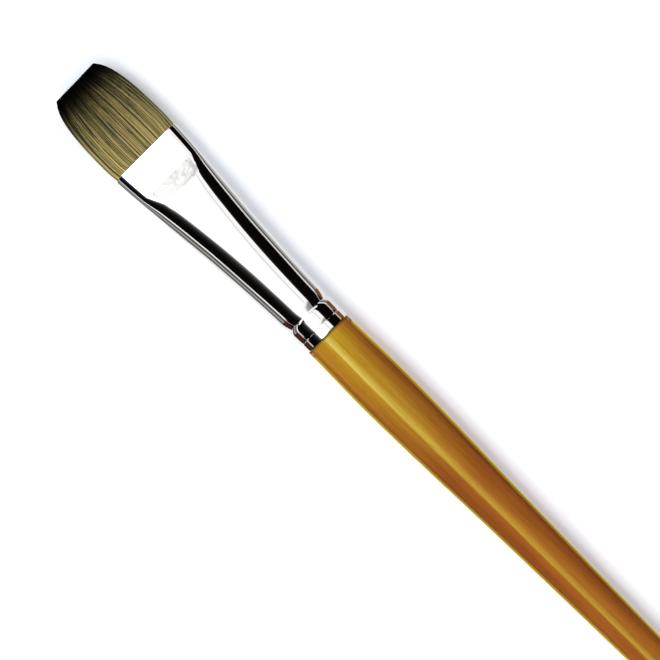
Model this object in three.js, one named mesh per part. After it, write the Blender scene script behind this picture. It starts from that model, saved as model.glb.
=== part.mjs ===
// A long-handled flat artist's brush, lying down on its broad side. Millimetres.
//
// +X runs along the brush towards the bristle tip, +Y across the width of the bristles and +Z
// out of their broad face. The origin is under the middle of the brush, on the surface it lies
// on. Most places are given as a distance behind the ferrule's mouth (its front edge), which is
// negative in front of the mouth.

import * as THREE from 'three';

// Driving dimensions
const TOTAL_LENGTH = 300;
const BRISTLE_LENGTH = 24.5; // outside the ferrule
const FERRULE_LENGTH = 61.5;
const LYING_HEIGHT = 6.68; // height of the brush's centreline, where its belly rests on z = 0
const SIDES = 32; // facets round every piece
const GAP = 0.3; // between neighbouring pieces

// The ferrule: a tapered metal tube, pressed flat at the mouth and left round at the back
const MOUTH_WIDTH = 20;
const MOUTH_THICKNESS = 5.7;
const FERRULE_DIAMETER = 13.15; // at the back, in front of the crimps
const FERRULE_END_DIAMETER = 12.9;
const FERRULE_WALL = 0.4;
const CREASE = 8.2; // where the jaws that pressed the mouth flat ended
// [distance behind the mouth, width] of the whole ferrule
const WIDTH_OUTLINE = [
  [0, MOUTH_WIDTH], [4, 19.55], [CREASE, 18.9], [12, 18.35], [16, 17.8], [22, 16.8], [30, 15.45],
  [44, 13.75], [54, FERRULE_DIAMETER], [FERRULE_LENGTH, FERRULE_END_DIAMETER],
];
// [distance behind the mouth, thickness] behind the crease
const SWELL_OUTLINE = [
  [CREASE, MOUTH_THICKNESS], [10.5, 7.7], [13, 9.6], [17, 11.2], [22, 12.0], [30, 12.4], [44, 12.3],
  [54, FERRULE_DIAMETER], [FERRULE_LENGTH, FERRULE_END_DIAMETER],
];
// The pressed tube keeps flat stretches above and below, which narrow and run out towards its back
const FLAT_FADE = 4.6; // how far behind the crease they narrow at once, to
const FLAT_KEPT = 0.7; // this share
const FLAT_RUNOUT = 24; // from here they run out
const FLAT_END = 44; // to here

// Two grooves rolled into the ferrule grip the handle. Each is a V with curved sides, front and
// back long from its bottom.
const CRIMPS = [
  { bottom: 54.7, depth: 0.5, front: 3.0, back: 1.6 },
  { bottom: 59.15, depth: 0.1, front: 1.5, back: 0.3 },
];

// The handle
const BELLY_DIAMETER = 13.4;
const TAIL_DIAMETER = 6.2;
const TAIL_ROUND = 4.2; // length of the rounded end
// [distance behind the ferrule, diameter]
const HANDLE_OUTLINE = [
  [0, 12.7], [17.5, BELLY_DIAMETER], [34.5, 12.88], [58, 11.45], [91.5, 9.92], [150, 7.8],
];
const TENON_TIP = 36; // distance of the tenon's front end behind the mouth
const TENON_TIP_DIAMETER = 8.6;
const TENON_CHAMFER = 0.8;
const GLUE_DIAMETER = 10.8; // outside the film of glue round the tenon
const GLUE_FRONT = 45;
const GLUE_BACK = 51.5;
const GLUE_WALL = 0.4;
const SEAT_FRONT = 52; // behind this the handle fits the ferrule, crimps and all

// The bristles' heel, inside the ferrule
const HEEL_END = 17;
const HEEL_STRAIGHT = 9; // the heel fills the ferrule down to here, and narrows behind it
const HEEL_END_INSET = 2.0; // from the ferrule's outer surface
const WAIST_INSET = 2.4; // where the thread is bound round it
const THREAD_DIAMETER = 0.55;
const THREAD_TURNS = 4;
const THREAD_FRONT = 12.7;
const WAIST_CHAMFER = 0.1; // at the ends of the heel's waist
const PLUG_FRONT = 15.6; // the resin plug round the heel's end
const PLUG_BACK = 21;
const PLUG_DISH = 0.8; // how far the resin's back face is dished

// The free bristles: [distance in front of the mouth, width] and [..., thickness]
const BRISTLE_WIDTHS = [
  [0, 19.1], [2, 19.6], [4.8, 19.75], [9.5, 19.6], [14.3, 19.1], [17.9, 18.2], [21, 16.75],
  [22.9, 15.1], [BRISTLE_LENGTH, 12.9],
];
const BRISTLE_THICKNESSES = [
  [0, 4.6], [3, 4.8], [8, 4.5], [14, 3.4], [19, 2.2], [BRISTLE_LENGTH, 0.9],
];
const FLEX_RADIUS = 2.35; // round end of the free bristles, about the line that they bend on

// Steps along the brush between the rings of facets
const FLAT_STEP = 2.8;
const SHOULDER_STEP = 1.2;
const TUBE_STEP = 4.5;
const CRIMP_STEP = 0.75;
const PLUG_STEP = 1.3;
const BRISTLE_STEP = 1.8;
const HANDLE_STEP = 10;

// Places along X
const mouthX = TOTAL_LENGTH / 2 - BRISTLE_LENGTH;
const ferruleEndX = mouthX - FERRULE_LENGTH;
const innerInset = FERRULE_WALL + GAP; // of what fills the ferrule, from its outer surface

const materials = {
  wood: new THREE.MeshStandardMaterial({ color: 0xb4782a, roughness: 0.25, metalness: 0 }),
  nickel: new THREE.MeshStandardMaterial({ color: 0xe4e2dc, roughness: 0.06, metalness: 1 }),
  bristle: new THREE.MeshStandardMaterial({ color: 0x9c8a3e, roughness: 0.55, metalness: 0 }),
  resin: new THREE.MeshStandardMaterial({ color: 0xcfb46a, roughness: 0.3, metalness: 0 }),
  glue: new THREE.MeshStandardMaterial({ color: 0xe6dfc8, roughness: 0.4, metalness: 0 }),
  thread: new THREE.MeshStandardMaterial({ color: 0xefe9dc, roughness: 0.9, metalness: 0 }),
};

// A smooth curve through [distance, size] points, read at any distance
function smoothSize(points) {
  const slopes = points.map(([at, size], i) => {
    const [fromAt, fromSize] = points[Math.max(i - 1, 0)];
    const [toAt, toSize] = points[Math.min(i + 1, points.length - 1)];
    return (toSize - fromSize) / (toAt - fromAt);
  });
  return (distance) => {
    const last = points.length - 1;
    const at = THREE.MathUtils.clamp(distance, points[0][0], points[last][0]);
    let i = 0;
    while (i < last - 1 && at > points[i + 1][0]) i += 1;
    const [startAt, startSize] = points[i];
    const [endAt, endSize] = points[i + 1];
    const span = endAt - startAt;
    const t = (at - startAt) / span;
    const blend = t * t * (3 - 2 * t);
    const startPull = t * (1 - t) * (1 - t) * span * slopes[i];
    const endPull = t * t * (1 - t) * span * slopes[i + 1];
    return startSize + (endSize - startSize) * blend + startPull - endPull;
  };
}

const tubeWidth = smoothSize(WIDTH_OUTLINE);
const swell = smoothSize(SWELL_OUTLINE);
const bristleWidth = smoothSize(BRISTLE_WIDTHS);
const bristleThickness = smoothSize(BRISTLE_THICKNESSES);

// How deep the grooves are at a distance behind the mouth
function crimpDepth(behind) {
  return CRIMPS.reduce((sum, { bottom, depth, front, back }) => {
    const offset = behind - bottom;
    const share = THREE.MathUtils.clamp(offset < 0 ? -offset / front : offset / back, 0, 1);
    return sum + depth * (1 - share) * (1 - share);
  }, 0);
}

// 1 where the ferrule's section is a bar with round ends, and 0 where it is an oval
function flatnessAt(behind) {
  const fade = THREE.MathUtils.clamp((behind - CREASE) / FLAT_FADE, 0, 1);
  const kept = FLAT_KEPT + (1 - FLAT_KEPT) * (1 - fade) * (1 - fade);
  return kept * (1 - THREE.MathUtils.smoothstep(behind, FLAT_RUNOUT, FLAT_END));
}

// The ferrule's outer section at a distance behind the mouth
function ferruleSection(behind) {
  const squeeze = 2 * crimpDepth(behind);
  return {
    width: tubeWidth(behind) - squeeze,
    thickness: (behind <= CREASE ? MOUTH_THICKNESS : swell(behind)) - squeeze,
    flatness: flatnessAt(behind),
  };
}

function bristleSection(behind) {
  return {
    width: bristleWidth(-behind),
    thickness: bristleThickness(-behind),
    flatness: 1,
  };
}

// The point of a section at an angle from +Y, where the same share of the outline lies between
// any two angles as on the round tube that it was pressed from
function sectionPoint({ width, thickness, flatness }, angle) {
  const radius = thickness / 2;
  const straight = width / 2 - radius;
  const quarter = (Math.PI / 2) * radius + straight;
  const rise = Math.atan2(Math.abs(Math.sin(angle)), Math.abs(Math.cos(angle)));
  const along = (rise / (Math.PI / 2)) * quarter;
  const arc = Math.min(along / radius, Math.PI / 2);
  const barY = Math.min(straight, quarter - along) + radius * Math.cos(arc);
  const barZ = radius * Math.sin(arc);
  const y = THREE.MathUtils.lerp((width / 2) * Math.cos(rise), barY, flatness);
  const z = THREE.MathUtils.lerp(radius * Math.sin(rise), barZ, flatness);
  return [y * Math.sign(Math.cos(angle)), z * Math.sign(Math.sin(angle))];
}

// Turns an outline of [distance behind the mouth, radius] about the brush's centreline
function turned(outline) {
  const points = outline.map(([behind, radius]) => new THREE.Vector2(radius, mouthX - behind));
  const geometry = new THREE.LatheGeometry(points, SIDES);
  geometry.rotateZ(-Math.PI / 2);
  geometry.rotateX(Math.PI / SIDES);
  return geometry;
}

// Turns an outline of [distance behind the mouth, inset] and presses it into the sections that
// sectionAt gives. The inset is from the section's surface, and null is the centreline.
function pressed(outline, sectionAt) {
  const unpressedRadius = 20; // any size over the largest inset
  const round = outline.map(([behind, inset]) => [
    behind, inset === null ? 0 : unpressedRadius - inset,
  ]);
  const geometry = turned(round);
  const position = geometry.attributes.position;
  for (let i = 0; i < position.count; i += 1) {
    const y = position.getY(i);
    const z = position.getZ(i);
    const radius = Math.hypot(y, z);
    const onCentreline = radius < 1e-6;
    if (!onCentreline) {
      const inset = unpressedRadius - radius;
      const { width, thickness, flatness } = sectionAt(mouthX - position.getX(i));
      const section = { width: width - 2 * inset, thickness: thickness - 2 * inset, flatness };
      const [newY, newZ] = sectionPoint(section, Math.atan2(z, y));
      position.setY(i, newY);
      position.setZ(i, newZ);
    }
  }
  geometry.computeVertexNormals();
  return geometry;
}

// Distances from start to end, in steps of about the given size
function steps(start, end, size) {
  const count = Math.max(1, Math.round(Math.abs(end - start) / size));
  return Array.from({ length: count + 1 }, (unused, i) => start + ((end - start) * i) / count);
}

// Distances from the first groove's front to the ferrule's back end, with both groove bottoms
function crimpStations(start) {
  const [first, second] = CRIMPS;
  return [
    ...steps(start, first.bottom, CRIMP_STEP),
    ...steps(first.bottom, first.bottom + first.back, CRIMP_STEP / 2).slice(1),
    ...steps(first.bottom + first.back, second.bottom, CRIMP_STEP).slice(1),
    second.bottom + second.back,
    FERRULE_LENGTH,
  ];
}

function ferruleStations() {
  const firstGroove = CRIMPS[0].bottom - CRIMPS[0].front;
  return [
    ...steps(0, CREASE, FLAT_STEP),
    ...steps(CREASE + SHOULDER_STEP / 2, CREASE + 2 * FLAT_FADE, SHOULDER_STEP),
    ...steps(CREASE + 2 * FLAT_FADE, firstGroove, TUBE_STEP).slice(1, -1),
    ...crimpStations(firstGroove),
  ];
}

function ferrule() {
  const stations = ferruleStations();
  const outer = stations.map((behind) => [behind, 0]).reverse();
  const inner = stations.map((behind) => [behind, FERRULE_WALL]);
  return pressed([...outer, ...inner, outer[0]], ferruleSection);
}

function handle() {
  const tailStart = TOTAL_LENGTH - BRISTLE_LENGTH - TAIL_ROUND;
  const diameterAt = smoothSize([
    ...HANDLE_OUTLINE, [tailStart - FERRULE_LENGTH, TAIL_DIAMETER],
  ]);
  const shoulder = FERRULE_LENGTH + GAP;
  const seatRadius = (behind) => ferruleSection(behind).width / 2 - innerInset;
  const tenonRadius = GLUE_DIAMETER / 2 - GLUE_WALL - GAP;
  const tail = [75, 60, 45, 30, 15, 0].map((degrees) => {
    const angle = THREE.MathUtils.degToRad(degrees);
    return [
      tailStart + TAIL_ROUND * Math.sin(angle), (TAIL_DIAMETER / 2) * Math.cos(angle),
    ];
  });
  const taper = steps(tailStart, shoulder, HANDLE_STEP).slice(1).map((behind) => [
    behind, diameterAt(behind - FERRULE_LENGTH) / 2,
  ]);
  const seat = crimpStations(SEAT_FRONT).reverse().map((behind) => [behind, seatRadius(behind)]);
  return turned([
    [tailStart + TAIL_ROUND, 0],
    ...tail,
    ...taper,
    [shoulder, seatRadius(FERRULE_LENGTH)],
    ...seat,
    [GLUE_BACK, tenonRadius],
    [GLUE_FRONT, tenonRadius],
    [TENON_TIP + TENON_CHAMFER, TENON_TIP_DIAMETER / 2],
    [TENON_TIP, TENON_TIP_DIAMETER / 2 - TENON_CHAMFER],
    [TENON_TIP, 0],
  ]);
}

function tenonGlue() {
  const outer = GLUE_DIAMETER / 2;
  const inner = outer - GLUE_WALL;
  return turned([
    [GLUE_BACK, inner], [GLUE_BACK, outer], [GLUE_FRONT, outer], [GLUE_FRONT, inner],
    [GLUE_BACK, inner],
  ]);
}

// How far the heel lies inside the ferrule's outer surface
function heelInset(behind) {
  const narrowing = THREE.MathUtils.smoothstep(behind, HEEL_STRAIGHT, THREAD_FRONT);
  return THREE.MathUtils.lerp(innerInset, HEEL_END_INSET, narrowing);
}

function threadBack() {
  return THREAD_FRONT + THREAD_TURNS * THREAD_DIAMETER;
}

function bristleHeel() {
  const waistFront = THREAD_FRONT;
  const waistBack = threadBack();
  const front = [
    ...steps(0, CREASE, FLAT_STEP),
    ...steps(CREASE + SHOULDER_STEP / 2, waistFront - SHOULDER_STEP / 2, SHOULDER_STEP),
  ];
  return pressed([
    [HEEL_END, null],
    [HEEL_END, HEEL_END_INSET],
    [waistBack + WAIST_CHAMFER, HEEL_END_INSET],
    [waistBack, WAIST_INSET],
    [waistFront, WAIST_INSET],
    [waistFront - WAIST_CHAMFER, HEEL_END_INSET],
    ...front.reverse().map((behind) => [behind, heelInset(behind)]),
    [0, null],
  ], ferruleSection);
}

function bindingThread() {
  const radius = THREAD_DIAMETER / 2;
  const inner = WAIST_INSET - GAP;
  const outline = [[threadBack(), inner]];
  for (let turn = THREAD_TURNS - 1; turn >= 0; turn -= 1) {
    const centre = THREAD_FRONT + (turn + 0.5) * THREAD_DIAMETER;
    for (const degrees of [30, 90, 150]) {
      const angle = THREE.MathUtils.degToRad(degrees);
      outline.push([centre + radius * Math.cos(angle), inner - radius * (1 + Math.sin(angle))]);
    }
  }
  outline.push([THREAD_FRONT, inner], [threadBack(), inner]);
  return pressed(outline, ferruleSection);
}

function resinPlug() {
  const pocket = HEEL_END_INSET - GAP;
  return pressed([
    [PLUG_BACK - PLUG_DISH, null],
    ...steps(PLUG_BACK, PLUG_FRONT, PLUG_STEP).map((behind) => [behind, innerInset]),
    [PLUG_FRONT, pocket],
    [HEEL_END + GAP, pocket],
    [HEEL_END + GAP, null],
  ], ferruleSection);
}

// The free bristles. Their back end is round about the line that they bend on, so that it turns
// in its place in front of the heel.
function freeBristles() {
  const back = [75, 60, 45, 30, 15].map((degrees) => {
    const angle = THREE.MathUtils.degToRad(degrees);
    return GAP + FLEX_RADIUS * (1 - Math.sin(angle));
  });
  const front = steps(GAP + FLEX_RADIUS, BRISTLE_LENGTH, BRISTLE_STEP);
  const sectionAt = (behind) => {
    const section = bristleSection(behind);
    const short = FLEX_RADIUS - (-behind - GAP);
    if (short > 0) {
      section.thickness = 2 * Math.sqrt(FLEX_RADIUS * FLEX_RADIUS - short * short);
    }
    return section;
  };
  const outline = [...back, ...front].map((ahead) => [-ahead, 0]);
  return pressed([
    [outline[0][0], null], ...outline, [-BRISTLE_LENGTH, null],
  ], sectionAt);
}

const group = new THREE.Group();
group.position.z = LYING_HEIGHT;

function addPiece(name, geometry, material) {
  const mesh = new THREE.Mesh(geometry, material);
  mesh.name = name;
  group.add(mesh);
}

addPiece('handle', handle(), materials.wood);
addPiece('ferrule', ferrule(), materials.nickel);
addPiece('bristles', freeBristles(), materials.bristle);
addPiece('bristle_heel', bristleHeel(), materials.bristle);
addPiece('binding_thread', bindingThread(), materials.thread);
addPiece('resin_plug', resinPlug(), materials.resin);
addPiece('tenon_glue', tenonGlue(), materials.glue);

export default group;
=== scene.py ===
import math

import bpy
import numpy as np
from mathutils import Matrix, Vector


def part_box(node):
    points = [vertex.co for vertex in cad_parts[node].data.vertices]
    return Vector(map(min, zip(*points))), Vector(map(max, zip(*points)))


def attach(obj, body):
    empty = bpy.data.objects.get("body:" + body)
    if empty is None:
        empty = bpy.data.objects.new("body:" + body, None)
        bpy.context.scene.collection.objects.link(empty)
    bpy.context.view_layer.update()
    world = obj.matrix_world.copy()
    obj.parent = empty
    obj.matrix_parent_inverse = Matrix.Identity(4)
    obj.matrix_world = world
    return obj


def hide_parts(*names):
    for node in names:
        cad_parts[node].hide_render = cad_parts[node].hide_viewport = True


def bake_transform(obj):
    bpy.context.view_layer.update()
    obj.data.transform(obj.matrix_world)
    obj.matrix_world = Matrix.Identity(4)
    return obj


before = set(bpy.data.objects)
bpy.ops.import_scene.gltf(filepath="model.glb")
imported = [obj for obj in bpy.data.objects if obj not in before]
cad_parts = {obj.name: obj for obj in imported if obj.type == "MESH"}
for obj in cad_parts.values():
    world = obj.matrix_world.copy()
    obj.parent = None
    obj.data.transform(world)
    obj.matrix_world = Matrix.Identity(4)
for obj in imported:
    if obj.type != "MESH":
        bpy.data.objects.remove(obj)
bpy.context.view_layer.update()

# A long-handled flat artist's brush. Metres in the frame of the CAD model: +X to the bristle
# tip, +Y across the bristles, +Z out of their flat. The outlines below are in millimetres,
# as distances behind the ferrule's mouth, behind the ferrule or in front of the mouth.
MM = 0.001

# Places, from the frame
ferrule_low, ferrule_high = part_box("ferrule")
bristles_low, bristles_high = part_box("bristles")
handle_low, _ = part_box("handle")
MOUTH_X = ferrule_high.x
FERRULE_END_X = ferrule_low.x
TIP_X = bristles_high.x
TAIL_X = handle_low.x
AXIS_Z = (bristles_low.z + bristles_high.z) / 2

# Sizes in millimetres
FERRULE_LENGTH = (MOUTH_X - FERRULE_END_X) / MM
BRISTLE_LENGTH = (TIP_X - MOUTH_X) / MM
HANDLE_LENGTH = (FERRULE_END_X - TAIL_X) / MM
FERRULE_WALL = 0.4
CREASE = 8.2
MOUTH_THICKNESS = 5.7
WIDTH_OUTLINE = [
    (0, 20), (4, 19.55), (CREASE, 18.9), (12, 18.35), (16, 17.8), (22, 16.8), (30, 15.45),
    (44, 13.75), (54, 13.15), (FERRULE_LENGTH, 12.9),
]
SWELL_OUTLINE = [
    (CREASE, MOUTH_THICKNESS), (10.5, 7.7), (13, 9.6), (17, 11.2), (22, 12.0), (30, 12.4),
    (44, 12.3), (54, 13.15), (FERRULE_LENGTH, 12.9),
]
FLAT_FADE = 4.6  # how far behind the crease the flat stretches narrow at once, to
FLAT_KEPT = 0.7  # this share
FLAT_RUNOUT = 24  # from here they run out
FLAT_END = 44  # to here
# (bottom, depth, length of the front slope, length of the back slope)
CRIMPS = [(54.7, 0.5, 3.0, 1.6), (59.0, 0.11, 1.15, 0.3)]
BELLY_RADIUS = 6.7
TAIL_DIAMETER = 6.2
TAIL_ROUND = 4.2
HANDLE_OUTLINE = [
    (0, 12.7), (17.5, 2 * BELLY_RADIUS), (34.5, 12.88), (58, 11.45), (91.5, 9.92), (150, 7.8),
    (HANDLE_LENGTH - TAIL_ROUND, TAIL_DIAMETER),
]
BRISTLE_WIDTHS = [
    (-2, 18.7), (0, 19.1), (2, 19.6), (4.8, 19.75), (9.5, 19.6), (14.3, 19.1), (17.9, 18.2),
    (21, 16.75), (22.9, 15.1), (BRISTLE_LENGTH, 12.9),
]
BRISTLE_THICKNESSES = [
    (-2, 4.5), (0, 4.6), (3, 4.8), (8, 4.5), (14, 3.4), (19, 2.2), (BRISTLE_LENGTH, 0.9),
]


def srgb(red, green, blue):
    """A colour as it looks on a screen, 0 to 255, as the linear colour that shaders take."""
    def linear(value):
        value /= 255
        return value / 12.92 if value <= 0.04045 else ((value + 0.055) / 1.055) ** 2.4
    return linear(red), linear(green), linear(blue), 1.0


def smooth_size(points):
    """A smooth curve through (distance, size) points, as a function of distance."""
    at = np.array([p[0] for p in points], float)
    size = np.array([p[1] for p in points], float)
    before = np.maximum(np.arange(len(at)) - 1, 0)
    after = np.minimum(np.arange(len(at)) + 1, len(at) - 1)
    slopes = (size[after] - size[before]) / (at[after] - at[before])

    def read(distance):
        d = np.clip(np.asarray(distance, float), at[0], at[-1])
        i = np.clip(np.searchsorted(at, d, side="right") - 1, 0, len(at) - 2)
        span = at[i + 1] - at[i]
        t = (d - at[i]) / span
        blend = t * t * (3 - 2 * t)
        start_pull = t * (1 - t) ** 2 * span * slopes[i]
        end_pull = t * t * (1 - t) * span * slopes[i + 1]
        return size[i] + (size[i + 1] - size[i]) * blend + start_pull - end_pull

    return read


def smoothstep(value, low, high):
    t = np.clip((np.asarray(value, float) - low) / (high - low), 0, 1)
    return t * t * (3 - 2 * t)


def section_points(width, thickness, flatness, angle):
    """Points (y, z) of a pressed tube's outline at an angle from +Y. Flatness 1 is a bar with
    round ends and 0 an oval. Equal angles take equal shares of the bar's outline."""
    radius = thickness / 2
    straight = width / 2 - radius
    quarter = math.pi / 2 * radius + straight
    turned = np.arctan2(np.abs(np.sin(angle)), np.abs(np.cos(angle)))
    along = turned / (math.pi / 2) * quarter
    arc = np.minimum(along / radius, math.pi / 2)
    bar_y = np.where(along < math.pi / 2 * radius, straight + radius * np.cos(arc), quarter - along)
    bar_z = radius * np.sin(arc)
    y = (1 - flatness) * width / 2 * np.cos(turned) + flatness * bar_y
    z = (1 - flatness) * radius * np.sin(turned) + flatness * bar_z
    return y * np.sign(np.cos(angle)), z * np.sign(np.sin(angle))


tube_width = smooth_size(WIDTH_OUTLINE)
tube_swell = smooth_size(SWELL_OUTLINE)
handle_diameter = smooth_size(HANDLE_OUTLINE)
bristle_width = smooth_size(BRISTLE_WIDTHS)
bristle_thickness = smooth_size(BRISTLE_THICKNESSES)


def crimp_depth(behind):
    total = 0
    for bottom, depth, front, back in CRIMPS:
        offset = behind - bottom
        share = np.clip(np.where(offset < 0, -offset / front, offset / back), 0, 1)
        total = total + depth * (1 - share) ** 2
    return total


def flatness_at(behind):
    fade = np.clip((behind - CREASE) / FLAT_FADE, 0, 1)
    kept = FLAT_KEPT + (1 - FLAT_KEPT) * (1 - fade) ** 2
    return kept * (1 - smoothstep(behind, FLAT_RUNOUT, FLAT_END))


def ferrule_section(behind):
    """Width, thickness and flatness of the ferrule's outside, at distances behind the mouth."""
    squeeze = 2 * crimp_depth(behind)
    thickness = np.where(behind <= CREASE, MOUTH_THICKNESS, tube_swell(behind))
    return tube_width(behind) - squeeze, thickness - squeeze, flatness_at(behind)


def steps(start, end, size):
    """Distances from start to end, about size apart."""
    return np.linspace(start, end, max(2, round(abs(end - start) / size) + 1))


def loft(name, rings, ring_closed=False):
    """A mesh through rings of points, an array of rings x points x 3, in metres. Its ends are
    closed by a fan, or the last ring joins the first where ring_closed is set."""
    rings = np.asarray(rings)
    count, around = rings.shape[:2]
    vertices = rings.reshape(-1, 3)
    i, j = np.meshgrid(
        np.arange(count if ring_closed else count - 1), np.arange(around), indexing="ij"
    )
    a = i * around + j
    b = i * around + (j + 1) % around
    c = ((i + 1) % count) * around + (j + 1) % around
    d = ((i + 1) % count) * around + j
    faces = np.stack([a, b, c, d], -1).reshape(-1, 4).tolist()
    vertices = vertices.tolist()
    if not ring_closed:
        for end, row in enumerate((0, count - 1)):
            vertices.append(rings[row].mean(0).tolist())
            centre = len(vertices) - 1
            for k in range(around):
                pair = (row * around + k, row * around + (k + 1) % around)
                faces.append([centre, *(pair if end else pair[::-1])])
    mesh = bpy.data.meshes.new(name)
    mesh.from_pydata(vertices, [], faces)
    mesh.validate()
    mesh.shade_smooth()
    piece = bpy.data.objects.new(name, mesh)
    bpy.context.scene.collection.objects.link(piece)
    return piece


# ---------------------------------------------------------------- materials


class Nodes:
    """A material's node tree, with short ways to add the nodes that these materials use."""

    def __init__(self, name):
        self.material = bpy.data.materials.new(name)
        self.material.use_nodes = True
        self.tree = self.material.node_tree
        self.shader = self.tree.nodes["Principled BSDF"]

    def add(self, kind, **settings):
        node = self.tree.nodes.new(kind)
        for key, value in settings.items():
            setattr(node, key, value)
        return node

    def link(self, source, target):
        self.tree.links.new(source, target)

    def place(self, scale=(1, 1, 1), offset=(0, 0, 0)):
        """The surface's place in the frame, stretched by scale."""
        coordinates = self.add("ShaderNodeTexCoord")
        mapping = self.add("ShaderNodeMapping")
        mapping.inputs["Scale"].default_value = scale
        mapping.inputs["Location"].default_value = offset
        self.link(coordinates.outputs["Object"], mapping.inputs["Vector"])
        return mapping.outputs["Vector"]

    def noise(self, scale, detail=3.0, roughness=0.5, offset=(0, 0, 0), distortion=0.0):
        """Noise whose features are about 1 / scale metres along X, Y and Z."""
        node = self.add("ShaderNodeTexNoise")
        node.inputs["Scale"].default_value = 1.0
        node.inputs["Detail"].default_value = detail
        node.inputs["Roughness"].default_value = roughness
        node.inputs["Distortion"].default_value = distortion
        self.link(self.place(scale, offset), node.inputs["Vector"])
        return node.outputs["Fac"]

    def ramp(self, value, *stops):
        """Colours by value: stops are (position, colour)."""
        node = self.add("ShaderNodeValToRGB")
        elements = node.color_ramp.elements
        while len(elements) < len(stops):
            elements.new(0.5)
        for element, (position, colour) in zip(elements, stops):
            element.position = position
            element.color = colour
        self.link(value, node.inputs["Fac"])
        return node.outputs["Color"]

    def spread(self, value, low, high, to_low=0.0, to_high=1.0):
        """Maps value from low..high to to_low..to_high, clamped."""
        node = self.add("ShaderNodeMapRange")
        node.inputs["From Min"].default_value = low
        node.inputs["From Max"].default_value = high
        node.inputs["To Min"].default_value = to_low
        node.inputs["To Max"].default_value = to_high
        self.link(value, node.inputs["Value"])
        return node.outputs["Result"]

    def mix(self, factor, first, second, blend="MIX"):
        node = self.add("ShaderNodeMix", data_type="RGBA", blend_type=blend)
        self.join(factor, node.inputs[0])
        self.join(first, node.inputs[6])
        self.join(second, node.inputs[7])
        return node.outputs[2]

    def maths(self, operation, first, second=0.0):
        node = self.add("ShaderNodeMath", operation=operation)
        self.join(first, node.inputs[0])
        self.join(second, node.inputs[1])
        return node.outputs[0]

    def join(self, value, socket):
        if isinstance(value, bpy.types.NodeSocket):
            self.link(value, socket)
        else:
            socket.default_value = value

    def axis(self, index):
        """The frame's X, Y or Z of the surface, in metres."""
        split = self.add("ShaderNodeSeparateXYZ")
        self.link(self.place(), split.inputs[0])
        return split.outputs[index]

    def attribute(self, name):
        return self.add("ShaderNodeAttribute", attribute_name=name).outputs["Fac"]

    def bump(self, height, distance, strength=1.0):
        node = self.add("ShaderNodeBump")
        node.inputs["Strength"].default_value = strength
        node.inputs["Distance"].default_value = distance
        self.link(height, node.inputs["Height"])
        return node.outputs["Normal"]

    def set(self, **values):
        """Sets or links the shader's inputs, named with _ for spaces."""
        for name, value in values.items():
            self.join(value, self.shader.inputs[name.replace("_", " ")])
        return self.material


STAIN_PALE_X = FERRULE_END_X - 3 * MM  # the amber stain deepens from here
STAIN_DEEP_X = FERRULE_END_X - 47 * MM  # to here
# Colours of the stain where it is deep and where it is pale: on the top, lightened as painted
# light, and down the sides, darkened as painted shade
STAIN_TOP_LIT = (0.425, 0.132, 0.019, 1), (0.60, 0.34, 0.021, 1)
STAIN_SIDES_SHADED = (0.26, 0.05, 0.0135, 1), (0.415, 0.115, 0.0185, 1)
TOP_HALF_WIDTH = 1.7 * MM
SIDES_FROM = 6.3 * MM
GRAIN_DARK = (0.80, 0.72, 0.80, 1)
GRAIN_LIGHT = (1.14, 1.2, 1.1, 1)
FLECK_COLOUR = (0.10, 0.035, 0.008, 1)
EDGE_PAINTED_SHADE = (0.1, 0.035, 0.008, 1)  # painted shade where the lacquer ends against the ferrule
# Painted shade on the reflection there: a dark specular tint
EDGE_SHADED_SPECULAR = (0.05, 0.02, 0.01, 1)
EDGE_BACK = FERRULE_END_X - 0.65 * MM
EDGE_FRONT = FERRULE_END_X - 0.35 * MM
LACQUER_TINT = (0.84, 0.95, 0.16, 1)
PEEL_DEPTH = 0.02 * MM


def lacquered_wood():
    m = Nodes("lacquered_wood")
    along = m.maths("ADD", m.axis(0), m.spread(m.noise((22, 160, 160)), 0.3, 0.7, -0.006, 0.006))
    near = m.spread(along, STAIN_DEEP_X, STAIN_PALE_X)
    top = m.mix(near, *STAIN_TOP_LIT)
    sides = m.mix(near, *STAIN_SIDES_SHADED)
    wander = m.spread(m.noise((30, 300, 300)), 0.3, 0.7, -0.0011, 0.0007)
    across = m.maths("ABSOLUTE", m.maths("ADD", m.axis(1), wander))
    # Painted light and shade: a lighter top and darker sides across the handle
    colour = m.mix(m.spread(across, TOP_HALF_WIDTH, SIDES_FROM), top, sides)
    bands = m.noise((9, 330, 330), detail=4, roughness=0.6, distortion=0.4)
    fibres = m.noise((60, 2600, 2600), detail=3, roughness=0.7)
    grain = m.maths("ADD", m.maths("MULTIPLY", bands, 0.6), m.maths("MULTIPLY", fibres, 0.4))
    shade = m.mix(m.spread(grain, 0.36, 0.62), GRAIN_DARK, GRAIN_LIGHT)
    colour = m.mix(1.0, colour, shade, blend="MULTIPLY")
    flecks = m.noise((300, 5200, 5200), detail=1, offset=(3, 1, 2))
    colour = m.mix(m.spread(flecks, 0.70, 0.76, 0, 0.7), colour, FLECK_COLOUR)
    peel = m.noise((1100, 1300, 1300), detail=2)
    # The edge against the ferrule, darkened in colour and in reflection as painted shade
    edge = m.spread(m.axis(0), EDGE_BACK, EDGE_FRONT)
    gloss = m.spread(along, STAIN_DEEP_X, STAIN_PALE_X, 0.10, 0.08)
    return m.set(
        Base_Color=m.mix(m.maths("MULTIPLY", edge, 0.6), colour, EDGE_PAINTED_SHADE),
        Roughness=m.maths("ADD", gloss, m.maths("MULTIPLY", edge, 0.7)),
        Specular_IOR_Level=0.5,
        Specular_Tint=m.mix(edge, LACQUER_TINT, EDGE_SHADED_SPECULAR),
        Normal=m.bump(peel, PEEL_DEPTH, 0.6),
    )


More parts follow.
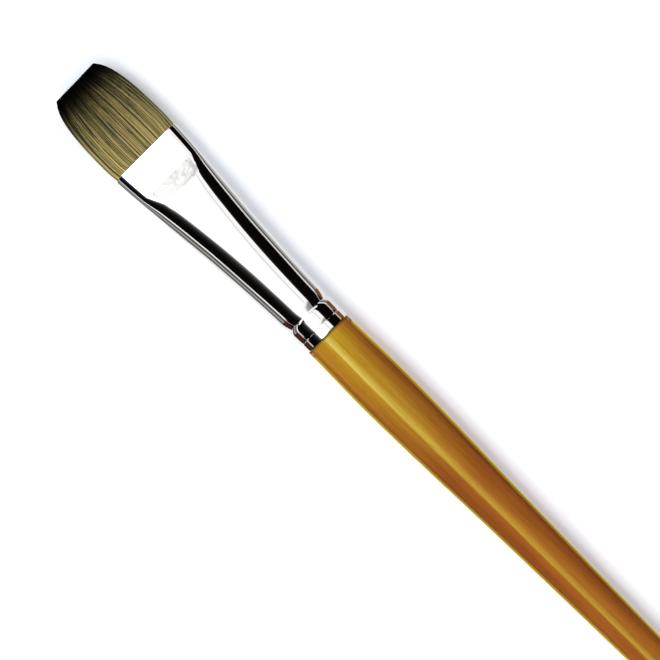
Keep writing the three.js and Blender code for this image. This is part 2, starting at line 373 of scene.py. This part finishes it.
NICKEL_DULL = (0.945, 0.935, 0.925, 1)
NICKEL_CLEAN = (0.965, 0.96, 0.955, 1)
RIM_PAINTED_SHADE = (0.10, 0.085, 0.07, 1)  # the cut back edge, darkened as painted shade where it meets the lacquer
RIM_FRONT = FERRULE_END_X + 0.16 * MM
RIM_BACK = FERRULE_END_X + 0.04 * MM


def polished_nickel():
    m = Nodes("polished_nickel")
    tint = m.noise((60, 160, 160), detail=2)
    smears = m.noise((220, 900, 900), detail=4, roughness=0.7)
    plating = m.mix(m.spread(tint, 0.35, 0.65), NICKEL_DULL, NICKEL_CLEAN)
    return m.set(
        # Painted shade on the back edge
        Base_Color=m.mix(m.spread(m.axis(0), RIM_FRONT, RIM_BACK), plating, RIM_PAINTED_SHADE),
        Metallic=1.0,
        Roughness=m.spread(smears, 0.35, 0.75, 0.015, 0.035),
    )


# (dull, bright) colours of the two kinds of filament, and of the core below them, whose darkness is
# painted shade
GOLD = (0.095, 0.10, 0.058, 1), (0.93, 0.735, 0.25, 1)
DARK = (0.012, 0.015, 0.011, 1), (0.13, 0.145, 0.11, 1)
SHADED_CORE = (0.012, 0.012, 0.006, 1), (0.06, 0.055, 0.025, 1)
TIP_COLOUR = (0.0004, 0.0005, 0.0002, 1)


def bristle_fibre(name, dull, bright):
    """Filaments by their own tone, darkening towards the tip by their fade."""
    m = Nodes(name)
    streaks = m.noise((110, 7000, 7000), detail=1)
    tone = m.maths("ADD", m.attribute("tone"), m.spread(streaks, 0.25, 0.75, -0.2, 0.2))
    colour = m.mix(tone, dull, bright)
    colour = m.mix(m.attribute("fade"), TIP_COLOUR, colour)
    return m.set(
        Base_Color=colour,
        Roughness=m.spread(streaks, 0.3, 0.7, 0.42, 0.55),
        Specular_IOR_Level=0.01,
    )


def packed_heel():
    m = Nodes("bristle_heel")
    ends = m.noise((300, 3200, 3200), detail=3)
    return m.set(
        Base_Color=m.mix(m.spread(ends, 0.35, 0.65), srgb(84, 78, 46), srgb(150, 130, 62)),
        Roughness=m.spread(ends, 0.3, 0.7, 0.42, 0.6),
        Normal=m.bump(ends, 0.00004, 0.5),
    )


def bound_thread():
    m = Nodes("bound_thread")
    twist = m.noise((5200, 900, 900), detail=2)
    return m.set(
        Base_Color=m.mix(m.spread(twist, 0.3, 0.7), srgb(206, 198, 176), srgb(240, 235, 220)),
        Roughness=0.85,
        Normal=m.bump(twist, 0.00005, 0.8),
    )


def set_resin():
    m = Nodes("set_resin")
    cloud = m.noise((420, 420, 420), detail=4)
    return m.set(
        Base_Color=m.mix(m.spread(cloud, 0.3, 0.7), srgb(176, 128, 52), srgb(222, 186, 104)),
        Roughness=m.spread(cloud, 0.3, 0.7, 0.12, 0.3),
        Coat_Weight=0.5,
        Normal=m.bump(cloud, 0.0001, 0.4),
    )


def dried_glue():
    m = Nodes("dried_glue")
    crust = m.noise((700, 1500, 1500), detail=5)
    return m.set(
        Base_Color=m.mix(m.spread(crust, 0.3, 0.7), srgb(214, 202, 168), srgb(240, 232, 208)),
        Roughness=m.spread(crust, 0.3, 0.7, 0.35, 0.6),
        Normal=m.bump(crust, 0.0001, 0.7),
    )


# ------------------------------------------------------------------ handle


def turned_rings(profile, around):
    """Rings about the brush's centreline through (x in metres, radius in millimetres)."""
    angle = np.linspace(0, 2 * math.pi, around, endpoint=False)
    rings = []
    for x, radius in profile:
        ring = np.stack([
            np.full(around, x),
            radius * MM * np.cos(angle),
            AXIS_Z + radius * MM * np.sin(angle),
        ], -1)
        rings.append(ring)
    return rings


HANDLE_SIDES = 112
SHOULDER_ROUND = 0.12  # of the lacquered shoulder against the ferrule
SHOULDER_GAP = 0.05  # between the shoulder and the ferrule
TENON_TIP = 36
TENON_TIP_RADIUS = 4.3
TENON_CHAMFER = 0.8
GLUE_FRONT = 45
GLUE_BACK = 51.5
GLUE_SEAT_RADIUS = 4.7
SEAT_GAP = 0.7  # between the ferrule's outer surface and the tenon


def handle_profile():
    """(x in metres, radius in millimetres) from the tail round the shoulder to the tenon's tip."""
    tail_start = HANDLE_LENGTH - TAIL_ROUND
    profile = []
    for degrees in np.linspace(88, 0, 16):
        angle = math.radians(degrees)
        behind = tail_start + TAIL_ROUND * math.sin(angle)
        profile.append((behind, TAIL_DIAMETER / 2 * math.cos(angle)))
    for behind in steps(tail_start, SHOULDER_ROUND + SHOULDER_GAP, 1.2)[1:]:
        profile.append((behind, float(handle_diameter(behind)) / 2))
    shoulder = float(handle_diameter(0)) / 2 - SHOULDER_ROUND
    for degrees in (20, 45, 70, 90):
        angle = math.radians(degrees)
        behind = SHOULDER_GAP + SHOULDER_ROUND * (1 - math.sin(angle))
        profile.append((behind, shoulder + SHOULDER_ROUND * math.cos(angle)))
    rows = [(FERRULE_END_X - behind * MM, radius) for behind, radius in profile]
    for behind in steps(FERRULE_LENGTH + SHOULDER_GAP, GLUE_BACK + 0.6, 0.1):
        seat = ferrule_section(np.minimum(behind, FERRULE_LENGTH))[0] / 2 - SEAT_GAP
        rows.append((MOUTH_X - behind * MM, float(seat)))
    rows.append((MOUTH_X - (GLUE_BACK + 0.3) * MM, GLUE_SEAT_RADIUS))
    rows.append((MOUTH_X - GLUE_FRONT * MM, GLUE_SEAT_RADIUS))
    rows.append((MOUTH_X - (TENON_TIP + TENON_CHAMFER) * MM, TENON_TIP_RADIUS))
    rows.append((MOUTH_X - TENON_TIP * MM, TENON_TIP_RADIUS - TENON_CHAMFER))
    return rows


def make_handle():
    piece = loft("wood_handle", turned_rings(handle_profile(), HANDLE_SIDES))
    piece.data.materials.append(lacquered_wood())
    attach(piece, "brush")
    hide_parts("handle")


# ----------------------------------------------------------------- ferrule

FERRULE_SIDES = 240
RIM_STEPS = 9  # round each edge of the wall, ends included
DENT_DEPTH = 0.003


def ferrule_path():
    """(distance behind the mouth, inset from the outer surface) once round the wall's section."""
    rim = FERRULE_WALL / 2
    first_groove = CRIMPS[0][0] - CRIMPS[0][2]
    shoulder = CREASE + 2 * FLAT_FADE
    outer = np.concatenate([
        steps(FERRULE_LENGTH - rim, first_groove, 0.1)[1:],
        steps(first_groove, shoulder, 0.6)[1:],
        steps(shoulder, CREASE + 0.3, 0.2)[1:],
        steps(CREASE + 0.3, CREASE - 0.3, 0.05)[1:],
        steps(CREASE - 0.3, rim, 0.5)[1:],
    ])
    inner = steps(rim, FERRULE_LENGTH - rim, 0.8)
    path = [(d, 0.0) for d in outer]
    for degrees in np.linspace(0, 180, RIM_STEPS)[1:-1]:
        angle = math.radians(degrees)
        path.append((rim - rim * math.sin(angle), rim - rim * math.cos(angle)))
    path += [(d, FERRULE_WALL) for d in inner]
    for degrees in np.linspace(0, 180, RIM_STEPS)[1:-1]:
        angle = math.radians(degrees)
        path.append((FERRULE_LENGTH - rim + rim * math.sin(angle), rim + rim * math.cos(angle)))
    return path


def dents(behind, y):
    """Slight unevenness that the jaws left in the shoulder behind the crease."""
    fade = smoothstep(behind, CREASE + 0.2, CREASE + 1.4) * (1 - smoothstep(behind, 13, 20))
    across = 1 - smoothstep(np.abs(y), 4.5, 7.5)
    waves = (
        np.sin(1.9 * y + 1.1 * behind + 0.6) + 0.8 * np.sin(-1.2 * y + 2.3 * behind + 2.1)
        + 0.6 * np.sin(3.1 * y - 0.9 * behind + 4.0)
    )
    return DENT_DEPTH * fade * across * waves


def make_ferrule():
    angle = (np.arange(FERRULE_SIDES) + 0.5) / FERRULE_SIDES * 2 * math.pi
    rings = []
    for behind, inset in ferrule_path():
        width, thickness, flatness = ferrule_section(np.float64(behind))
        y, z = section_points(width - 2 * inset, thickness - 2 * inset, flatness, angle)
        if inset < FERRULE_WALL / 2:
            z = z + np.sign(z) * dents(behind, y)
        x = np.full(FERRULE_SIDES, MOUTH_X - behind * MM)
        rings.append(np.stack([x, y * MM, AXIS_Z + z * MM], -1))
    piece = loft("nickel_ferrule", rings, ring_closed=True)
    piece.data.materials.append(polished_nickel())
    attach(piece, "brush")
    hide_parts("ferrule")


# ---------------------------------------------------------------- bristles

ROOT_DEPTH = 2.0  # how far the filaments are drawn back inside the ferrule
STRAND_STEPS = 20
STRAND_SIDES = 4
STRAND_RADIUS = 0.072
STRAND_TIP_RADIUS = 0.035
LAYERS = ((0.06, 290), (0.14, 360), (0.26, 340), (0.42, 270))
CORE_INSET = 0.55  # of the dark core below the filaments
CORE_SIDES = 96
CUT_SLANT = 0.019  # millimetres of length per millimetre across
LENGTH_SPREAD = 0.15
SIDEWAYS_BEND = 0.24
UPWARD_BEND = 0.04
DARK_SHARE = 0.32
DARK_THINNING = 0.72  # radius of a dark filament against a gold one
DEEP_PAINTED_SHADE = 2.1  # painted shade: less tone for each millimetre below the surface
FADE_LENGTH = 8.3  # from the tip to where the filaments have about half their colour
FADE_SPREAD = 0.3
ROOT_GAIN = (11, 23, 0.78)  # from here to here off the tip the colour rises from this share


def bristle_section(ahead, inset, least):
    """The tuft's width and thickness at distances in front of the mouth, inset all round. The
    thickness is never less than least."""
    width = bristle_width(ahead) - 2 * inset
    thickness = bristle_thickness(ahead) - 2 * inset
    return width, np.maximum(thickness, least)


def make_core():
    """The tuft below its outer filaments, so that no light passes between them. Its dark colour is
    painted shade.
    """
    angle = (np.arange(CORE_SIDES) + 0.5) / CORE_SIDES * 2 * math.pi
    rings = []
    for ahead in steps(-ROOT_DEPTH, BRISTLE_LENGTH - 0.5, 0.5):
        inset = CORE_INSET * (1 - 0.6 * ahead / BRISTLE_LENGTH)
        width, thickness = bristle_section(ahead, inset, 0.12)
        y, z = section_points(width, thickness, 1.0, angle)
        x = np.full(CORE_SIDES, MOUTH_X + ahead * MM)
        rings.append(np.stack([x, y * MM, AXIS_Z + z * MM], -1))
    piece = loft("tuft_core", rings)
    reach = (np.array([v.co.x for v in piece.data.vertices]) - MOUTH_X) / MM
    add_attribute(piece.data, "tone", np.full(len(reach), 0.25))
    add_attribute(piece.data, "fade", tip_fade(BRISTLE_LENGTH - reach, FADE_LENGTH))
    return piece


def tip_fade(from_tip, length):
    """The share of its colour that a filament has at a distance from the tip."""
    start, end, share = ROOT_GAIN
    gain = share + (1 - share) * smoothstep(from_tip, start, end)
    return gain / (1 + (length / np.maximum(from_tip, 0.05)) ** 4)


def add_attribute(mesh, name, values):
    attribute = mesh.attributes.new(name, "FLOAT", "POINT")
    attribute.data.foreach_set("value", np.asarray(values, np.float32))


def strand_places(draw):
    """Each filament's place in the tuft: its angle round it, and its inset."""
    angles = []
    insets = []
    for inset, count in LAYERS:
        even = (np.arange(count) + draw.uniform()) / count * 2 * math.pi
        angles.append(even + draw.normal(0, 0.35 * 2 * math.pi / count, count))
        insets.append(np.full(count, inset) + draw.normal(0, 0.025, count))
    return np.concatenate(angles), np.maximum(np.concatenate(insets), 0.05)


def strand_lines(angles, insets, draw):
    """The filaments' centres, steps x filaments x 3 in metres, and their fades there."""
    count = len(angles)
    shortening = draw.uniform(0, LENGTH_SPREAD, count)
    bend_y = draw.normal(0, SIDEWAYS_BEND, count)
    bend_z = draw.normal(0, UPWARD_BEND, count)
    phase = draw.uniform(0, 2 * math.pi, count)
    cycles = draw.uniform(0.9, 1.9, count)
    fade_length = FADE_LENGTH * np.exp(draw.normal(0, FADE_SPREAD, count))
    centres = np.zeros((STRAND_STEPS, count, 3))
    fades = np.zeros((STRAND_STEPS, count))
    for k, part in enumerate(np.linspace(0, 1, STRAND_STEPS)):
        ahead = -ROOT_DEPTH + (BRISTLE_LENGTH - shortening + ROOT_DEPTH) * part
        width, thickness = bristle_section(ahead, insets, 0.1)
        y, z = section_points(width, thickness, 1.0, angles)
        free = np.clip(ahead / BRISTLE_LENGTH, 0, 1)
        inside = 1 - smoothstep(np.abs(y), width / 2 - 1.5, width / 2)
        wander = free * (1 - 0.5 * free) * np.sin(2 * math.pi * cycles * free + phase)
        y = y + bend_y * wander * inside
        z = z + bend_z * wander
        ahead = ahead - CUT_SLANT * y * part
        centres[k] = np.stack([MOUTH_X + ahead * MM, y * MM, AXIS_Z + z * MM], -1)
        fades[k] = tip_fade(BRISTLE_LENGTH - ahead, fade_length)
    return centres, fades


def strand_faces(count):
    """The faces of count tubes that have their vertices one tube after another."""
    per_strand = STRAND_STEPS * STRAND_SIDES
    i, j = np.meshgrid(np.arange(STRAND_STEPS - 1), np.arange(STRAND_SIDES), indexing="ij")
    right = (j + 1) % STRAND_SIDES
    quad = np.stack([
        i * STRAND_SIDES + j, i * STRAND_SIDES + right,
        (i + 1) * STRAND_SIDES + right, (i + 1) * STRAND_SIDES + j,
    ], -1).reshape(-1, 4)
    starts = np.arange(count)[:, None, None] * per_strand
    faces = (quad[None] + starts).reshape(-1, 4).tolist()
    root = list(range(STRAND_SIDES))[::-1]
    tip = list(range(per_strand - STRAND_SIDES, per_strand))
    for strand in range(count):
        faces.append([strand * per_strand + k for k in root])
        faces.append([strand * per_strand + k for k in tip])
    return faces


def strands_mesh(name, angles, insets, tones, thinning, draw):
    """Tapered tubes along the tuft, one for each filament, as a single mesh."""
    centres, fades = strand_lines(angles, insets, draw)
    taper = smoothstep(np.linspace(0, 1, STRAND_STEPS), 0.35, 1.0)
    radius = STRAND_RADIUS + (STRAND_TIP_RADIUS - STRAND_RADIUS) * taper
    radius = radius * thinning
    sides = np.arange(STRAND_SIDES) / STRAND_SIDES * 2 * math.pi
    ring = np.stack([np.zeros(STRAND_SIDES), np.cos(sides), np.sin(sides)], -1)
    points = centres[:, :, None, :] + radius[:, None, None, None] * MM * ring[None, None, :, :]
    vertices = points.transpose(1, 0, 2, 3).reshape(-1, 3)
    mesh = bpy.data.meshes.new(name)
    mesh.from_pydata(vertices.tolist(), [], strand_faces(len(angles)))
    mesh.shade_smooth()
    add_attribute(mesh, "tone", np.repeat(tones, STRAND_STEPS * STRAND_SIDES))
    add_attribute(mesh, "fade", np.repeat(fades.T[:, :, None], STRAND_SIDES, 2).reshape(-1))
    piece = bpy.data.objects.new(name, mesh)
    bpy.context.scene.collection.objects.link(piece)
    return piece


def make_bristles():
    draw = np.random.default_rng(11)
    angles, insets = strand_places(draw)
    is_dark = draw.uniform(0, 1, len(angles)) < DARK_SHARE
    # Painted shade: filaments deeper in the tuft get less tone
    tones = draw.beta(0.72, 0.5, len(angles)) - DEEP_PAINTED_SHADE * (insets - LAYERS[0][0])
    tones = np.clip(tones, 0, 1)
    gold = bristle_fibre("bristle_gold", *GOLD)
    dark = bristle_fibre("bristle_dark", *DARK)
    pieces = []
    for name, chosen, material, thinning in (
        ("filaments_gold", ~is_dark, gold, 1.0),
        ("filaments_dark", is_dark, dark, DARK_THINNING),
    ):
        piece = strands_mesh(name, angles[chosen], insets[chosen], tones[chosen], thinning, draw)
        piece.data.materials.append(material)
        pieces.append(piece)
    core = make_core()
    # Painted shade: the core is coloured as filaments in deep shade
    core.data.materials.append(bristle_fibre("shaded_bristle_core", *SHADED_CORE))
    pieces.append(core)
    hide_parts("bristles")
    for piece in pieces:
        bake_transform(piece)


# ---------------------------------------------------- pieces inside the ferrule


def dress_inner_nodes():
    for node, material in (
        ("bristle_heel", packed_heel()),
        ("binding_thread", bound_thread()),
        ("resin_plug", set_resin()),
        ("tenon_glue", dried_glue()),
    ):
        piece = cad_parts[node]
        piece.data.materials.clear()
        piece.data.materials.append(material)


# ------------------------------------------------------------------ studio


def plane(name, corners):
    mesh = bpy.data.meshes.new(name)
    mesh.from_pydata(corners, [], [(0, 1, 2, 3)])
    piece = bpy.data.objects.new(name, mesh)
    bpy.context.scene.collection.objects.link(piece)
    return piece


FLOOR_Z = AXIS_Z - BELLY_RADIUS * MM
FLOOR_HALF = 3.0
FLOOR_GLOW = 0.3


def level_corners(x_range, y_range, z):
    (x_low, x_high), (y_low, y_high) = x_range, y_range
    return [(x_low, y_low, z), (x_high, y_low, z), (x_high, y_high, z), (x_low, y_high, z)]


def make_floor():
    reach = (-FLOOR_HALF, FLOOR_HALF)
    floor = plane("floor", level_corners(reach, reach, FLOOR_Z))
    m = Nodes("floor_paper")
    m.set(
        Base_Color=(0.94, 0.965, 0.985, 1), Roughness=0.9, Specular_IOR_Level=0.05,
        Emission_Color=(0.87, 0.89, 0.97, 1), Emission_Strength=FLOOR_GLOW,
    )
    floor.data.materials.append(m.material)
    floor.visible_glossy = False


# What the brush reflects: cards that only reflections show. Radiance is linear, 1 is white.
WHITE = (1, 1, 1)
CEILING_HEIGHT = 0.62
CEILING_AHEAD = 0.83
CEILING_BACK = -1.0
# (angle from above towards +Y in degrees, radiance) across the ceiling
CEILING_BANDS = [
    (-48, 0.002), (-44, 0.006), (-40.4, 0.014), (-39.3, 0.12), (-38.7, 1.0), (-24.4, 0.98),
    (-22.6, 0.58), (-21.8, 0.55), (-20.2, 0.98), (-14, 1.08), (31.6, 1.15), (34.3, 0.47),
    (36.3, 0.19), (39.8, 0.06), (46, 0.015), (58, 0.002),
]
CEILING_PEAK = 1.15
# A brighter strip of it: (angle, radiance over the bristles, radiance over the handle)
STRIP_BANDS = [
    (-14, (1.05, 1.05, 1.05), (1.05, 1.05, 1.05)),
    (-3, (1.2, 1.25, 1.15), (1.05, 1.1, 1.05)),
    (1, (2.4, 3.6, 2.5), (2.4, 3.0, 1.5)),
    (9, (4.6, 5.2, 9), (3.3, 4.0, 1.8)),
    (18, (6.6, 7.4, 15), (4.4, 5.2, 3.2)),
    (27.5, (6.9, 7.6, 16), (4.4, 5.2, 3.8)),
    (29.5, (2.2, 2.2, 2.2), (2.0, 2.2, 1.6)),
    (31, (1.15, 1.15, 1.15), (1.15, 1.15, 1.15)),
]
STRIP_PEAK = 24
STRIP_HEIGHT = 0.6
STRIP_CHANGE = (-0.1, 0.12)  # along X, from the handle's colours to the bristles'


def emission_card(name, corners):
    """A card that only shows in reflections, and its node tree."""
    card = plane(name, corners)
    m = Nodes(name)
    m.set(Base_Color=(0, 0, 0, 1), Specular_IOR_Level=0.0, Roughness=1.0, Emission_Strength=1.0)
    card.data.materials.append(m.material)
    card.visible_camera = False
    card.visible_diffuse = False
    card.visible_shadow = False
    card.visible_transmission = False
    return m


def level_card(name, x_range, y_range, z, colour):
    m = emission_card(name, level_corners(x_range, y_range, z))
    m.set(Emission_Color=(*colour, 1))
    return m


def across_at(angle, height):
    return height * math.tan(math.radians(angle))


def graded(m, axis, places, colours, peak):
    """Colours a card by its place along an axis. Places are in metres and in order."""
    low, high = places[0], places[-1]
    stops = []
    for place, colour in zip(places, colours):
        stops.append(((place - low) / (high - low), (*(part / peak for part in colour), 1)))
    return m.ramp(m.spread(m.axis(axis), low, high), *stops)


def make_ceiling():
    across = [across_at(angle, CEILING_HEIGHT) for angle, _ in CEILING_BANDS]
    greys = [(radiance,) * 3 for _, radiance in CEILING_BANDS]
    m = level_card(
        "ceiling", (CEILING_BACK, CEILING_AHEAD), (across[0], across[-1]), CEILING_HEIGHT, WHITE
    )
    m.set(
        Emission_Color=graded(m, 1, across, greys, CEILING_PEAK), Emission_Strength=CEILING_PEAK
    )
    across = [across_at(angle, STRIP_HEIGHT) for angle, _, _ in STRIP_BANDS]
    m = level_card(
        "bright_strip", (CEILING_BACK, CEILING_AHEAD - 0.02), (across[0], across[-1]),
        STRIP_HEIGHT, WHITE,
    )
    ahead = graded(m, 1, across, [colour for _, colour, _ in STRIP_BANDS], STRIP_PEAK)
    behind = graded(m, 1, across, [colour for _, _, colour in STRIP_BANDS], STRIP_PEAK)
    m.set(
        Emission_Color=m.mix(m.spread(m.axis(0), *STRIP_CHANGE), behind, ahead),
        Emission_Strength=STRIP_PEAK,
    )


# The wall that the slope behind the pressed flat reflects. (place across, radiance)
WALL_ACROSS = (-0.74, 0.9)
WALL_FOOT = 0.2
WALL_BANDS = [
    (-0.1, 0.64), (-0.05, 0.7), (-0.02, 0.77), (0.01, 0.85), (0.04, 0.93), (0.07, 1.0),
    (0.1, 1.04), (0.13, 1.03), (0.15, 0.97), (0.17, 0.94), (0.19, 1.02), (0.22, 1.05),
]
WALL_PEAK = 1.05
DARK_WALL = (0.02, 0.02, 0.02, 1)


def make_end_wall():
    """A wall at the ceiling's end with soft grey clouds, brighter towards its top."""
    x = CEILING_AHEAD + 0.002
    right, left = WALL_ACROSS
    wall = emission_card("end_wall", [
        (x, right, WALL_FOOT), (x, left, WALL_FOOT), (x, left, CEILING_HEIGHT),
        (x, right, CEILING_HEIGHT),
    ])
    places = [place for place, _ in WALL_BANDS]
    base = graded(wall, 1, places, [(radiance,) * 3 for _, radiance in WALL_BANDS], WALL_PEAK)
    clouds = wall.noise((1, 40, 16), detail=1.5, distortion=1.0)
    clouded = wall.mix(wall.spread(clouds, 0.4, 0.58), base, (1, 1, 1, 1))
    height = wall.spread(wall.axis(2), 0.47, 0.53, 0.0, 0.45)
    lit = wall.mix(height, clouded, (1, 1, 1, 1))
    # Beyond the ceiling's bright part the wall's top is as dark as the ceiling
    beyond = wall.spread(wall.maths("ABSOLUTE", wall.axis(1)), 0.46, 0.5)
    dark_top = wall.maths("MULTIPLY", beyond, wall.spread(wall.axis(2), 0.47, 0.5))
    wall.set(Emission_Color=wall.mix(dark_top, lit, DARK_WALL), Emission_Strength=WALL_PEAK)


CORNER_GREY = (0.62, 0.62, 0.64)


def make_ceiling_corner():
    """A grey corner of the ceiling before the wall, and the dark seam between the two."""
    corner = level_card("ceiling_corner", (0.62, CEILING_AHEAD), (-0.55, 0.1), 0.6, WHITE)
    towards_wall = corner.spread(corner.axis(0), 0.64, 0.72)
    to_the_right = corner.spread(corner.axis(1), 0.1, -0.06)
    grey = corner.maths("MULTIPLY", towards_wall, to_the_right)
    corner.set(
        Emission_Color=corner.mix(grey, (1, 1, 1, 1), (*CORNER_GREY, 1)),
        Emission_Strength=WALL_PEAK,
    )
    seam_x = (CEILING_AHEAD - 0.04, CEILING_AHEAD - 0.015)
    level_card("ceiling_seam", seam_x, (-0.05, 0.13), 0.598, CORNER_GREY)


# The card that greys the right side of what the crimps' slopes reflect. (place across, radiance)
FLAG_X = (-0.75, 0.04)
FLAG_HEIGHT = 0.5
FLAG_BANDS = [
    (-0.4, 0.26), (-0.36, 0.26), (-0.25, 0.29), (-0.15, 0.35), (-0.07, 0.74), (0.0, 1.0),
]


def make_grey_flag():
    """A grey card under the ceiling, over the handle, with a soft slanted front edge."""
    across = [place for place, _ in FLAG_BANDS]
    flag = level_card("grey_flag", FLAG_X, (across[0], across[-1]), FLAG_HEIGHT, WHITE)
    shade = graded(flag, 1, across, [(radiance,) * 3 for _, radiance in FLAG_BANDS], 1.0)
    edge = flag.maths("ADD", flag.axis(0), flag.spread(flag.axis(1), -0.3, -0.05, 0.0, 0.1))
    flag.set(Emission_Color=flag.mix(flag.spread(edge, 0.05, -0.05), (1, 1, 1, 1), shade))


# On the ground: side, where the brown part begins, and bands of (near edge, far edge in
# millimetres, colour beside the ferrule's front, colour beside its back)
GROUND = (
    (1, FERRULE_END_X + 9.2 * MM, (
        (0, 17, (0.85, 0.87, 0.9), (0.9, 0.92, 0.95)),
        (17, 27, (0.11, 0.105, 0.095), (0.045, 0.013, 0.010)),
        (27, 42, (0.37, 0.36, 0.34), (0.07, 0.020, 0.013)),
        (42, 200, (0.10, 0.098, 0.09), (0.055, 0.016, 0.011)),
    )),
    (-1, FERRULE_END_X + 10.4 * MM, (
        (0, 20.5, (0.78, 0.79, 0.81), (0.8, 0.8, 0.8)),
        (20.5, 25, (0.30, 0.295, 0.28), (0.17, 0.075, 0.024)),
        (25, 31, (0.49, 0.48, 0.45), (0.19, 0.08, 0.026)),
        (31, 72, (0.092, 0.09, 0.082), (0.17, 0.075, 0.026)),
        (72, 120, (0.85, 0.84, 0.8), (0.47, 0.30, 0.13)),
    )),
)
GROUND_FRONT = 0.2
GROUND_END = 2.9
WALL_TOP = 0.24  # of the low wall at the ground's far left edge
# Beside the handle the near ground has the lacquer's amber: side, far edge, colour
HANDLE_GROUND = ((1, 17.5, (1.15, 1.4, 0.16)), (-1, 20, (1.3, 1.1, 0.11)))


def fading_card(name, corners):
    """A white card that dims from the bristles towards the handle."""
    m = emission_card(name, corners)
    m.set(Emission_Color=(1, 1, 1, 1), Emission_Strength=m.spread(m.axis(0), -0.1, 0.3, 0.1, 1.0))


def make_ground():
    """Bands of light and dark ground beside the brush, as its flanks reflect them."""
    z = FLOOR_Z + 0.2 * MM
    near_back = FERRULE_END_X - 0.4 * MM
    amber_front = FERRULE_END_X - 1.2 * MM
    far_back = FERRULE_END_X - 2 * MM
    for side, step, bands in GROUND:
        name = "left" if side > 0 else "right"
        for number, (near, far, front_colour, back_colour) in enumerate(bands):
            across = sorted((side * near * MM, side * far * MM))
            back = far_back if number else near_back
            for part, along, colour in (
                ("front", (step, GROUND_FRONT), front_colour), ("back", (back, step), back_colour),
            ):
                level_card(f"ground_{name}_{part}_{number}", along, across, z, colour)
        near, far = sorted((side * bands[-1][1] * MM, side * GROUND_END))
        fading_card(f"ground_{name}_far", [
            (-0.1, near, z), (GROUND_END, near, z), (GROUND_END, far, z), (-0.1, far, z),
        ])
    for side, far, colour in HANDLE_GROUND:
        name = "left" if side > 0 else "right"
        across = sorted((0, side * far * MM))
        level_card(f"handle_ground_{name}", (-0.4, amber_front), across, z, colour)
    fading_card("low_wall", [
        (-0.1, GROUND_END, 0), (GROUND_END, GROUND_END, 0),
        (GROUND_END, GROUND_END, WALL_TOP), (-0.1, GROUND_END, WALL_TOP),
    ])


# The light on matt surfaces: a strip above on the +Y side, a weaker one on the other side, and
# a weak even light all round. Each light has (from, to) angles from above and a radiance.
LIGHT_HEIGHT = 0.62
LIGHT_LENGTH = 1.0
KEY = (8, 31, 4.4)
FILL = (-50, -15, 0.68)
AMBIENT = 0.17
AMBIENT_TINT = (0.92, 0.95, 1.06)
DARK_ROOM = (0.003, 0.002, 0.002, 1)


def make_lights():
    for name, (low, high, radiance) in (("key", KEY), ("fill", FILL)):
        low = across_at(low, LIGHT_HEIGHT)
        high = across_at(high, LIGHT_HEIGHT)
        light = bpy.data.lights.new(name, "AREA")
        light.shape = "RECTANGLE"
        light.size = LIGHT_LENGTH
        light.size_y = high - low
        light.energy = radiance * math.pi * LIGHT_LENGTH * (high - low)
        lamp = bpy.data.objects.new(name, light)
        bpy.context.scene.collection.objects.link(lamp)
        lamp.location = (FERRULE_END_X, (low + high) / 2, LIGHT_HEIGHT)
        lamp.visible_glossy = False


def make_world():
    """An even light on matt surfaces. Reflections see a dark room in its place."""
    world = bpy.data.worlds.new("studio")
    bpy.context.scene.world = world
    world.use_nodes = True
    tree = world.node_tree
    background = tree.nodes["Background"]
    path = tree.nodes.new("ShaderNodeLightPath")
    mix = tree.nodes.new("ShaderNodeMix")
    mix.data_type = "RGBA"
    mix.inputs[6].default_value = (*(AMBIENT * part for part in AMBIENT_TINT), 1)
    mix.inputs[7].default_value = DARK_ROOM
    tree.links.new(path.outputs["Is Glossy Ray"], mix.inputs[0])
    tree.links.new(mix.outputs[2], background.inputs["Color"])


CAMERA_DISTANCE = 0.302
CAMERA_TILT = math.radians(2.27)  # towards the bristles, from a place behind the view's middle
CAMERA_ROLL = math.radians(135.17)  # the brush's direction in the view, from the right
FIELD_WIDTH = 0.1569
VIEW_MIDDLE = Vector((FERRULE_END_X + 0.5 * MM, -1.03 * MM, AXIS_Z))


def make_camera():
    data = bpy.data.cameras.new("camera")
    camera = bpy.data.objects.new("camera", data)
    bpy.context.scene.collection.objects.link(camera)
    bpy.context.scene.camera = camera
    data.sensor_width = 36
    data.lens = data.sensor_width * CAMERA_DISTANCE / FIELD_WIDTH
    data.clip_start = 0.01
    back = Vector((-math.sin(CAMERA_TILT), 0, math.cos(CAMERA_TILT)))
    along = Vector((math.cos(CAMERA_TILT), 0, math.sin(CAMERA_TILT)))
    across = back.cross(along)
    right = math.cos(CAMERA_ROLL) * along - math.sin(CAMERA_ROLL) * across
    up = math.sin(CAMERA_ROLL) * along + math.cos(CAMERA_ROLL) * across
    turn = Matrix((right, up, back)).transposed()
    camera.matrix_world = Matrix.Translation(VIEW_MIDDLE + back * CAMERA_DISTANCE) @ turn.to_4x4()


make_camera()
make_handle()
make_ferrule()
make_bristles()
dress_inner_nodes()
make_floor()
make_world()
make_lights()
make_ceiling()
make_end_wall()
make_ceiling_corner()
make_grey_flag()
make_ground()
bpy.context.scene.view_settings.view_transform = "Standard"
